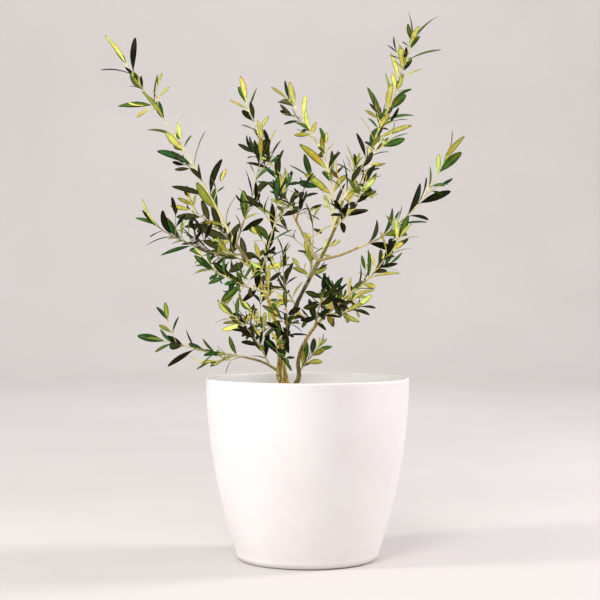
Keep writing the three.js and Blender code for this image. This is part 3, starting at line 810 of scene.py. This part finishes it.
def noise_node(tree, scale, detail=4.0, rough=0.5, stretch=(1, 1, 1)):
    place = tree.nodes.new("ShaderNodeTexCoord")
    mapping = tree.nodes.new("ShaderNodeMapping")
    set_inputs(mapping, {"Scale": stretch})
    pattern = tree.nodes.new("ShaderNodeTexNoise")
    set_inputs(pattern, {"Scale": scale, "Detail": detail, "Roughness": rough})
    tree.links.new(place.outputs["Object"], mapping.inputs["Vector"])
    tree.links.new(mapping.outputs["Vector"], pattern.inputs["Vector"])
    return pattern.outputs["Fac"]


def ramp(tree, factor, stops):
    node = tree.nodes.new("ShaderNodeValToRGB")
    elements = node.color_ramp.elements
    while len(elements) < len(stops):
        elements.new(0.5)
    for element, (place, colour) in zip(elements, stops):
        element.position = place
        element.color = (*colour, 1)
    tree.links.new(factor, node.inputs["Fac"])
    return node.outputs["Color"]


def grey_ramp(tree, factor, low, high):
    return ramp(tree, factor, [(0.3, (low,) * 3), (0.7, (high,) * 3)])


def bump(tree, shader, height, strength, distance):
    node = tree.nodes.new("ShaderNodeBump")
    set_inputs(node, {"Strength": strength, "Distance": distance})
    tree.links.new(height, node.inputs["Height"])
    tree.links.new(node.outputs["Normal"], shader.inputs["Normal"])


def mix_colours(tree, factor, first, second):
    node = tree.nodes.new("ShaderNodeMix")
    node.data_type = "RGBA"
    tree.links.new(factor, node.inputs["Factor"])
    tree.links.new(first, node.inputs["A"])
    tree.links.new(second, node.inputs["B"])
    return node.outputs["Result"]


def leaf_material(name, colour, rough, shine, leans):
    """A leaf's skin: warmer here and fresher there, clouded, with uneven gloss and a fine grain."""
    material, tree, shader = new_material(name)
    clouds = noise_node(tree, scale=190, rough=0.65)
    tones = []
    for lean in leans:
        tone = tuple(c * k for c, k in zip(colour, lean))
        tones.append(ramp(tree, clouds, [(place, times(tone, light)) for place, light in LEAF_CLOUDS]))
    where = grey_ramp(tree, noise_node(tree, LEAF_LEAN_SCALE, detail=2), 0, 1)
    tree.links.new(mix_colours(tree, where, *tones), shader.inputs["Base Color"])
    low, high = (rough + shift for shift in LEAF_GLOSS_RANGE)
    gloss = grey_ramp(tree, noise_node(tree, scale=700, detail=3), low, high)
    tree.links.new(gloss, shader.inputs["Roughness"])
    set_inputs(shader, {"Specular IOR Level": shine})
    bump(tree, shader, noise_node(tree, scale=2600, detail=2), strength=0.2, distance=0.0003)
    return material


def bark_material(name, pale, mid, dark, speck):
    """Bark: streaks of two colours along the limb, dark specks and flakes, and a rough grain."""
    material, tree, shader = new_material(name)
    broad = noise_node(tree, scale=330, detail=6, rough=0.7, stretch=(1, 1, 0.3))
    fine = noise_node(tree, scale=900, rough=0.75, stretch=(1, 1, 0.6))
    base = ramp(tree, broad, [(0.43, mid), (0.57, pale)])
    spots = ramp(tree, fine, [(speck, (1, 1, 1)), (speck + 0.05, (0, 0, 0))])
    flake = ramp(tree, broad, [(0.3, times(dark, 0.6)), (0.7, dark)])
    tree.links.new(mix_colours(tree, spots, base, flake), shader.inputs["Base Color"])
    set_inputs(shader, {"Roughness": 0.72})
    bump(tree, shader, fine, strength=0.5, distance=0.0006)
    return material


def pot_material(name, pale, shaded, glow):
    """Satin white plastic: two faint tones, uneven gloss, a fine grain and some light let through."""
    material, tree, shader = new_material(name)
    cloud = noise_node(tree, scale=14, detail=3)
    tree.links.new(ramp(tree, cloud, [(0.35, shaded), (0.65, pale)]), shader.inputs["Base Color"])
    rough = grey_ramp(tree, noise_node(tree, scale=60), low=0.32, high=0.42)
    tree.links.new(rough, shader.inputs["Roughness"])
    set_inputs(shader, {"Coat Weight": 0.12, "Coat Roughness": 0.25, "Subsurface Weight": glow})
    set_inputs(shader, {"Subsurface Scale": POT_GLOW_DEPTH, "Subsurface Radius": POT_GLOW_SPREAD})
    bump(tree, shader, noise_node(tree, scale=900, detail=2), strength=0.05, distance=0.0003)
    return material


def soil_material():
    material, tree, shader = new_material("potting_soil")
    lumps = noise_node(tree, scale=420, detail=6, rough=0.7)
    stops = [(0.3, (0.012, 0.008, 0.006)), (0.55, (0.045, 0.027, 0.016)), (0.8, (0.12, 0.075, 0.042))]
    tree.links.new(ramp(tree, lumps, stops), shader.inputs["Base Color"])
    set_inputs(shader, {"Roughness": 0.95})
    bump(tree, shader, lumps, strength=0.8, distance=0.002)
    return material


def plain_material(name, low, high, scale, rough, detail=3, edges=(0.35, 0.65)):
    material, tree, shader = new_material(name)
    tone = ramp(tree, noise_node(tree, scale, detail), list(zip(edges, (low, high))))
    tree.links.new(tone, shader.inputs["Base Color"])
    set_inputs(shader, {"Roughness": rough})
    return material


# Pieces
def steps_between(low, high, count):
    """Even steps from one height to another, without the first."""
    return np.linspace(low, high, count + 1)[1:]


def build_pot():
    """The pot turned round its axis: outside with faint moulding lines, rounded lip, inside and floor."""
    lip = POT_WALL / 2
    wall_top = POT_HEIGHT - lip

    def outer(z):
        dent = sum(deep * math.exp(-(((z - height) / wide) ** 2)) for height, deep, wide in MOULD_LINES)
        return pot_outer(z) - dent

    profile = [(POT_AXIS_HOLE, 0), (POT_FLAT_RADIUS, 0)]
    for i in range(POT_FOOT_STEPS + 1):
        angle = 90 * DEGREE * i / POT_FOOT_STEPS
        side = pot_outer(POT_FOOT_ROUND) - POT_FOOT_ROUND * (1 - math.sin(angle))
        profile.append((side, POT_FOOT_ROUND * (1 - math.cos(angle))))
    wall = steps_between(POT_FOOT_ROUND, MOULD_BAND[0], POT_WALL_STEPS)
    fine = steps_between(*MOULD_BAND, MOULD_STEPS)
    above = steps_between(MOULD_BAND[1], wall_top, MOULD_TO_LIP_STEPS)
    profile += [(outer(z), z) for z in (*wall, *fine, *above)]
    for i in range(1, LIP_STEPS + 1):
        angle = math.pi * i / LIP_STEPS
        profile.append((pot_outer(wall_top) - lip + lip * math.cos(angle), wall_top + lip * math.sin(angle)))
    inside_from = len(profile) - 1
    for z in steps_between(wall_top, POT_INSIDE_LOW, POT_INSIDE_STEPS):
        profile.append((pot_outer(z) - POT_WALL, z))
    corner = pot_outer(POT_FLOOR) - POT_WALL - POT_CORNER[0]
    profile.append((corner, POT_FLOOR + POT_CORNER[1]))
    profile += [(POT_FLOOR_RADIUS, POT_FLOOR), (POT_AXIS_HOLE, POT_FLOOR)]
    points = [point for radius, z in profile for point in ring(radius, z, POT_SIDES)]
    faces = bands(len(profile), POT_SIDES)
    numbers = [0 if i < inside_from * POT_SIDES else 1 for i in range(len(faces))]
    mesher = Mesher()
    mesher.add(points, faces, numbers)
    outside = pot_material("pot_white_plastic", (0.87, 0.85, 0.845), (0.83, 0.80, 0.80), 0)
    # The inside is a paler copy of the same plastic, painted light that makes the inner wall look lit; its
    # glow lets light through the wall
    inside = pot_material("pot_white_inside_painted_light", (0.98, 0.965, 0.955), (0.96, 0.935, 0.92), 0.5)
    settle(mesher.piece("pot_shell", [outside, inside]), "pot_plastic", "pot")


def soil_height(x, y):
    """The soil's top: level round the trunk, lower at the edge, with lumps."""
    out = (math.hypot(x, y) - SOIL_LEVEL_RADIUS) / (SOIL_EDGE_RADIUS - SOIL_LEVEL_RADIUS)
    drop = SOIL_EDGE_DROP * max(0.0, out) ** SOIL_EDGE_CURVE
    lumps = 0
    for scale, level, share in SOIL_LUMPS:
        lumps += share * noise.noise(Vector((x * scale, y * scale, level)))
    return SOIL_TOP - drop - SOIL_SUNK + SOIL_LUMP_HEIGHT * lumps


def build_soil():
    """The plug of soil: a lumpy top in rings, and a side that follows the pot's inside down to the floor."""
    inner = [pot_outer(wall) - POT_WALL - CLEARANCE for wall, _ in SOIL_SIDE]
    points = [(0, 0, soil_height(0, 0))]
    for i in range(1, SOIL_RINGS + 1):
        around = ring(inner[0] * i / SOIL_RINGS, 0, SOIL_SPOKES)
        points += [(x, y, soil_height(x, y)) for x, y, _ in around]
    for radius, (_, z) in zip(inner, SOIL_SIDE):
        points += ring(radius * SOIL_SIDE_SHARE, z, SOIL_SPOKES)
    points.append((0, 0, SOIL_SIDE[-1][1]))
    rings = SOIL_RINGS + len(SOIL_SIDE)
    last = 1 + (rings - 1) * SOIL_SPOKES
    faces = [(0, 1 + k, 1 + (k + 1) % SOIL_SPOKES) for k in range(SOIL_SPOKES)]
    faces += bands(rings, SOIL_SPOKES, base=1, turned=True)
    faces += [(last + k, len(points) - 1, last + (k + 1) % SOIL_SPOKES) for k in range(SOIL_SPOKES)]
    mesher = Mesher()
    mesher.add(points, faces, [0] * len(faces))
    settle(mesher.piece("soil_bed", [soil_material()]), "soil", "soil")
    build_crumbs()


def add_crumb(mesher, centre, size, chance, number):
    """A lump with eight faces, squashed and turned by chance."""
    axes = [unit((chance() - 0.5, chance() - 0.5, chance() - 0.5))]
    axes.append(sideways(axes[0]))
    axes.append(cross(axes[0], axes[1]))
    points = []
    for axis, length in zip(axes, size):
        points += [add(centre, times(axis, length)), sub(centre, times(axis, length))]
    faces = [(0, 2, 4), (2, 1, 4), (1, 3, 4), (3, 0, 4), (2, 0, 5), (1, 2, 5), (3, 1, 5), (0, 3, 5)]
    mesher.add(points, faces, [number] * len(faces))


def build_crumbs():
    """Crumbs of peat and chips of bark, half sunk in the soil."""
    mesher = Mesher()
    chance = Chance(CRUMB_SEED)
    for count, sizes, number, share in CRUMBS:
        for _ in range(count):
            angle = 2 * math.pi * chance()
            out = CRUMB_REACH * math.sqrt(chance())
            x, y = out * math.cos(angle), out * math.sin(angle)
            if math.hypot(x - TRUNK_FOOT[0], y) < CRUMB_TRUNK_RADIUS:
                continue
            size = [span_of(pair, chance) for pair in sizes]
            own = number if chance() < share else number + 1
            add_crumb(mesher, (x, y, soil_height(x, y)), size, chance, own)
    dark = plain_material("peat_crumb", (0.02, 0.012, 0.008), (0.06, 0.035, 0.02), 500, 0.95)
    chip = plain_material("bark_chip", (0.07, 0.035, 0.018), (0.2, 0.11, 0.055), 700, 0.85)
    stone = plain_material("pale_grain", (0.35, 0.32, 0.28), (0.6, 0.57, 0.52), 900, 0.8)
    settle(mesher.piece("soil_crumbs", [dark, chip, stone]), "soil")


def settle(piece, slot, *nodes):
    """The piece rides on the plant's one body and stands for the nodes named; the slot is not used."""
    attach(piece, "root")
    if nodes:
        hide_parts(*nodes)


def bark_relief(depth):
    """Low ridges along the limb, with a finer grain over them."""

    def relief(centre, out, angle, i):
        place = add(centre, times(out, RELIEF_REACH))
        ridge = noise.noise(Vector([p * scale for p, scale in zip(place, RIDGE_SCALES)]))
        grain = noise.noise(Vector(place) * GRAIN_SCALE)
        return depth * (ridge + GRAIN_SHARE * grain)

    return relief


def with_collar(points, sizes, swell=COLLAR_SWELL, reach=COLLAR_LENGTH):
    """A limb's radii, thicker where it leaves its parent."""
    return [
        size * (1 + swell * math.exp(-distance(point, points[0]) / reach))
        for point, size in zip(points, sizes)
    ]


def bark_number(name):
    """The bark's number at a place on a main bough, by its bands, with a ragged edge between them."""

    def number(place):
        height = place[2] + BARK_RAGGED * noise.noise(Vector(place) * BARK_PATCH)
        return BARK_ORDER.index(next(bark for top, bark in BARK_BANDS[name] if height < top))

    return number


def build_bark():
    """The trunk with its lobed flare, the three boughs that go on from its stubs, and the side boughs."""
    mesher = Mesher()
    shares = tapered(TRUNK_STEPS, 0, 1)
    radii = [trunk_radius(share) for share in shares]

    def flare(centre, out, angle, i):
        lobe = TRUNK_LOBE_SHARE * (1 - shares[i]) ** 3 * math.cos(TRUNK_FLARE_LOBES * angle)
        return radii[i] * lobe + bark_relief(TRUNK_RELIEF)(centre, out, angle, i)

    trunk_bark, side_bark = BARK_ORDER.index("bark_yellow"), BARK_ORDER.index("bark_young")
    add_tube(mesher, trunk_line(shares), radii, TRUNK_SIDES, trunk_bark, flare, point_end=True)
    for stub in STUBS:
        name = "bough_" + stub
        whole = limbs[stub][0] + limbs[name][0][1:]
        sizes = limbs[stub][1] + limbs[name][1][1:]
        points, sizes = smooth_line(whole, sizes, RING_STEP)
        add_tube(mesher, points, sizes, LIMB_SIDES, bark_number(name), bark_relief(BOUGH_RELIEF))
    relief = bark_relief(SIDE_BOUGH_RELIEF)
    for name in ("bough_centre", "bough_side", "bough_bottom_left"):
        points, sizes = smooth_line(*limbs[name], RING_STEP)
        add_tube(mesher, points, with_collar(points, sizes), SIDE_BOUGH_SIDES, side_bark, relief)
    materials = [bark_material(name, *look) for name, look in BARKS.items()]
    nodes = ["trunk"] + [row["name"] for row in BOUGHS]
    settle(mesher.piece("bark", materials), "bark", *nodes)


def node_swell(points, sizes, nodes):
    """A stem's radii, a little thicker at its leaf nodes."""
    swollen = []
    for point, size in zip(points, sizes):
        near = min(distance(point, node) for node in nodes)
        swollen.append(size * (1 + NODE_SWELL * math.exp(-((near / NODE_LENGTH) ** 2))))
    return swollen


def add_bud(mesher, root, heading, number):
    points = [add(root, times(heading, BUD_LENGTH * t)) for t, _ in BUD_RINGS]
    add_tube(mesher, points, [BUD_RADIUS * share for _, share in BUD_RINGS], SPRIG_SIDES, number)


def pick_tint(shade, place, chance):
    """A tint by the shade's shares, with more of the lit tints, painted light, towards the tip of a shoot."""
    lit = LIT_WEIGHT[0] + LIT_WEIGHT[1] * place**2
    plain = PLAIN_WEIGHT[0] + PLAIN_WEIGHT[1] * place
    shares = []
    for tint, share in zip(TINTS, SHADE_SHARES[shade]):
        shares.append((tint, share * (lit if tint in LIT_TINTS else plain)))
    mark = chance() * sum(share for _, share in shares)
    for tint, share in shares:
        mark -= share
        if mark <= 0:
            return tint
    return shares[0][0]


def build_foliage(stems):
    """Twigs, buds and leaves of every mass, each kind joined into pieces of its own."""
    twigs = Mesher()
    leaves = {tint: Mesher() for tint in TINTS}
    for order, stem in enumerate(stems):
        row = stem.row
        chance = Chance(TINT_SEED + order)
        number = 0 if row["shade"] == "dark" else 1
        sizes = [radius * ROUND_SHARE for radius in stem.radii]
        points, sizes = smooth_line(stem.line, sizes, STEM_RING_STEP)
        swell, reach = COLLAR_SWELL, COLLAR_LENGTH
        if row["height"] is None:
            swell, reach = limbs[row["from"]][1][-1] / sizes[0] - 1, TIP_COLLAR_LENGTH
        radii = node_swell(points, with_collar(points, sizes, swell, reach), stem.line[2:])
        add_tube(twigs, points, radii, STEM_SIDES, number, point_end=True)
        for line, twig_radii in stem.twigs:
            points, sizes = smooth_line(line, times(twig_radii, ROUND_SHARE), TWIG_RING_STEP)
            add_tube(twigs, points, with_collar(points, sizes), TWIG_SIDES, number, point_end=True)
        sprays = {}
        for leaf in stem.leaves:
            if leaf.spray not in sprays:
                sprays[leaf.spray] = pick_tint(row["shade"], leaf.place, chance)
            add_leaf(leaves[sprays[leaf.spray]], leaf, BLADE_TWIST * (2 * chance() - 1))
        grow_sprigs(stem, chance, twigs, leaves, number)
    nodes = [stem.row["name"] for stem in stems]
    barks = [bark_material(name, *look) for name, look in TWIG_BARKS.items()]
    settle(twigs.piece("twigs", barks), "young_bark", *nodes)
    for tint, (slot, above, below) in TINTS.items():
        upper_rib = add(times(above, 1 - RIB_MIX), times(below, RIB_MIX))
        parts = {
            "": (above, below),
            "rib_": (upper_rib, times(below, RIB_LIFT)),
            "margin_": (times(above, MARGIN_SHARE), times(below, MARGIN_SHARE)),
        }
        materials = []
        for part, colours in parts.items():
            for side, colour in zip(SKINS, colours):
                materials.append(leaf_material(f"leaf_{tint}_{part}{side}", colour, **SKINS[side]))
        settle(leaves[tint].piece(f"leaves_{tint}", materials), slot)


def grow_sprigs(stem, chance, twigs, leaves, number):
    """In each axil a bud, or a short shoot with two pairs of small leaves where there is room for them."""
    row = stem.row
    for node in range(2, len(stem.line) - 1):
        along = heading_at(stem.line, node)
        angle = (row["turn"] + row["twist"] * (node % 2)) * DEGREE
        for turned in (angle, angle + math.pi):
            side = outward(along, turned)
            spread = span_of(SPRIG_SPREAD, chance) * DEGREE
            heading = swung(along, side, spread)
            root = add(stem.line[node], times(side, stem.radii[node] * SPRIG_SEAT))
            wanted = chance() < SPRIG_SHARE[row["shade"]]
            if not (wanted and grow_sprig(root, heading, row, chance, twigs, leaves, number)):
                add_bud(twigs, root, heading, number)


def grow_sprig(root, heading, row, chance, twigs, leaves, number):
    """A short shoot that lifts a little, with its leaves; where none of them has room, it isn't grown."""
    length = span_of(SPRIG_LENGTH, chance)
    line = []
    for t in (0, 0.5, 1):
        line.append(add(root, add(times(heading, length * t), (0, 0, SPRIG_LIFT * length * t * t))))
    if not placed.fits([(point, SPRIG_ROOM, False) for point in line[1:]], row["name"]):
        return False
    tint = pick_tint(row["shade"], SPRIG_PLACE, chance)
    grown = []
    for k in range(SPRIG_LEAVES):
        leaf = sprig_leaf(line[1 + k // 2], heading, chance, k)
        balls = [(leaf.at(t), half * leaf.width, False) for t, half in LEAF_BALLS[1:]]
        if placed.fits(balls, row["name"]):
            grown.append((leaf, balls))
    if not grown:
        return False
    for leaf, balls in grown:
        for centre, radius, _ in balls:
            placed.put(centre, radius, row["name"])
        add_leaf(leaves[tint], leaf, BLADE_TWIST * (2 * chance() - 1))
    add_tube(twigs, line, times(SPRIG_TAPER, SPRIG_RADIUS), SPRIG_SIDES, number, point_end=True)
    return True


def sprig_leaf(seat, heading, chance, k):
    """The leaf at a place on a short shoot: the lower pair spreads wider than the pair at its tip."""
    side = outward(heading, math.pi * (k % 2 + 0.5 * (k // 2) + SPRIG_LEAF_JITTER * chance()))
    wide, more = SPRIG_LEAF_SPREAD
    spread = (wide - SPRIG_TIP_CLOSER * (k // 2) + more * chance()) * DEGREE
    toward = swung(heading, side, spread)
    length = span_of(SPRIG_LEAF, chance)
    face = unit(sub(heading, times(toward, dot(heading, toward))))
    turn = (chance() - 0.5) * SPRIG_LEAF_TURN * DEGREE
    up = swung(face, cross(toward, face), turn)
    sunk = sub(seat, times(toward, SPRIG_LEAF_SUNK))
    return Leaf(sunk, toward, up, length, length * SPRIG_LEAF_WIDTH, length * SPRIG_LEAF_ARCH)


# Stage
def build_floor():
    """A wide pale bowl: a level floor that turns up into a wall on every side."""
    profile = [(radius, 0.0) for radius in FLOOR_RADII]
    flat = FLOOR_RADII[-1]
    for i in range(1, FLOOR_CORNER_STEPS + 1):
        angle = 90 * DEGREE * i / FLOOR_CORNER_STEPS
        profile.append((flat + FLOOR_CORNER * math.sin(angle), FLOOR_CORNER * (1 - math.cos(angle))))
    profile.append((flat + FLOOR_CORNER, FLOOR_TOP))
    points = [point for radius, z in profile for point in ring(radius, z, FLOOR_SIDES)]
    faces = bands(len(profile), FLOOR_SIDES, turned=True) + [tuple(range(FLOOR_SIDES))]
    mesh = smooth_mesh("floor", points, faces)
    paper = plain_material("floor_paper", *FLOOR_TONES, scale=3, rough=0.9, detail=2, edges=(0.3, 0.7))
    mesh.materials.append(paper)
    new_object("floor", mesh)


def build_light(name, place, target, power, size, colour):
    data = bpy.data.lights.new(name, "AREA")
    data.shape = "DISK"
    data.size = size
    data.energy = power
    data.color = colour
    light = new_object(name, data)
    light.location = place
    light.rotation_euler = (Vector(target) - Vector(place)).to_track_quat("-Z", "Y").to_euler()


def build_stage():
    scene = bpy.context.scene
    camera = new_object("camera", bpy.data.cameras.new("camera"))
    camera.data.lens = CAMERA_LENS
    camera.data.sensor_width = CAMERA_SENSOR
    camera.location = CAMERA_PLACE
    camera.rotation_euler = (CAMERA_PITCH * DEGREE, 0, 0)
    scene.camera = camera
    build_floor()
    for name, light in LIGHTS.items():
        build_light(name, *light)
    world = bpy.data.worlds.new("studio")
    world.use_nodes = True
    background = world.node_tree.nodes["Background"]
    set_inputs(background, {"Color": WORLD_COLOUR, "Strength": WORLD_STRENGTH})
    scene.world = world
    scene.view_settings.view_transform = "Standard"


build_stage()
grow_limbs()
all_stems = [Stem(row) for row in MASSES]
for each in all_stems:
    each.grow_twigs()
for each in all_stems:
    each.grow_leaves()
build_pot()
build_soil()
build_bark()
build_foliage(all_stems)
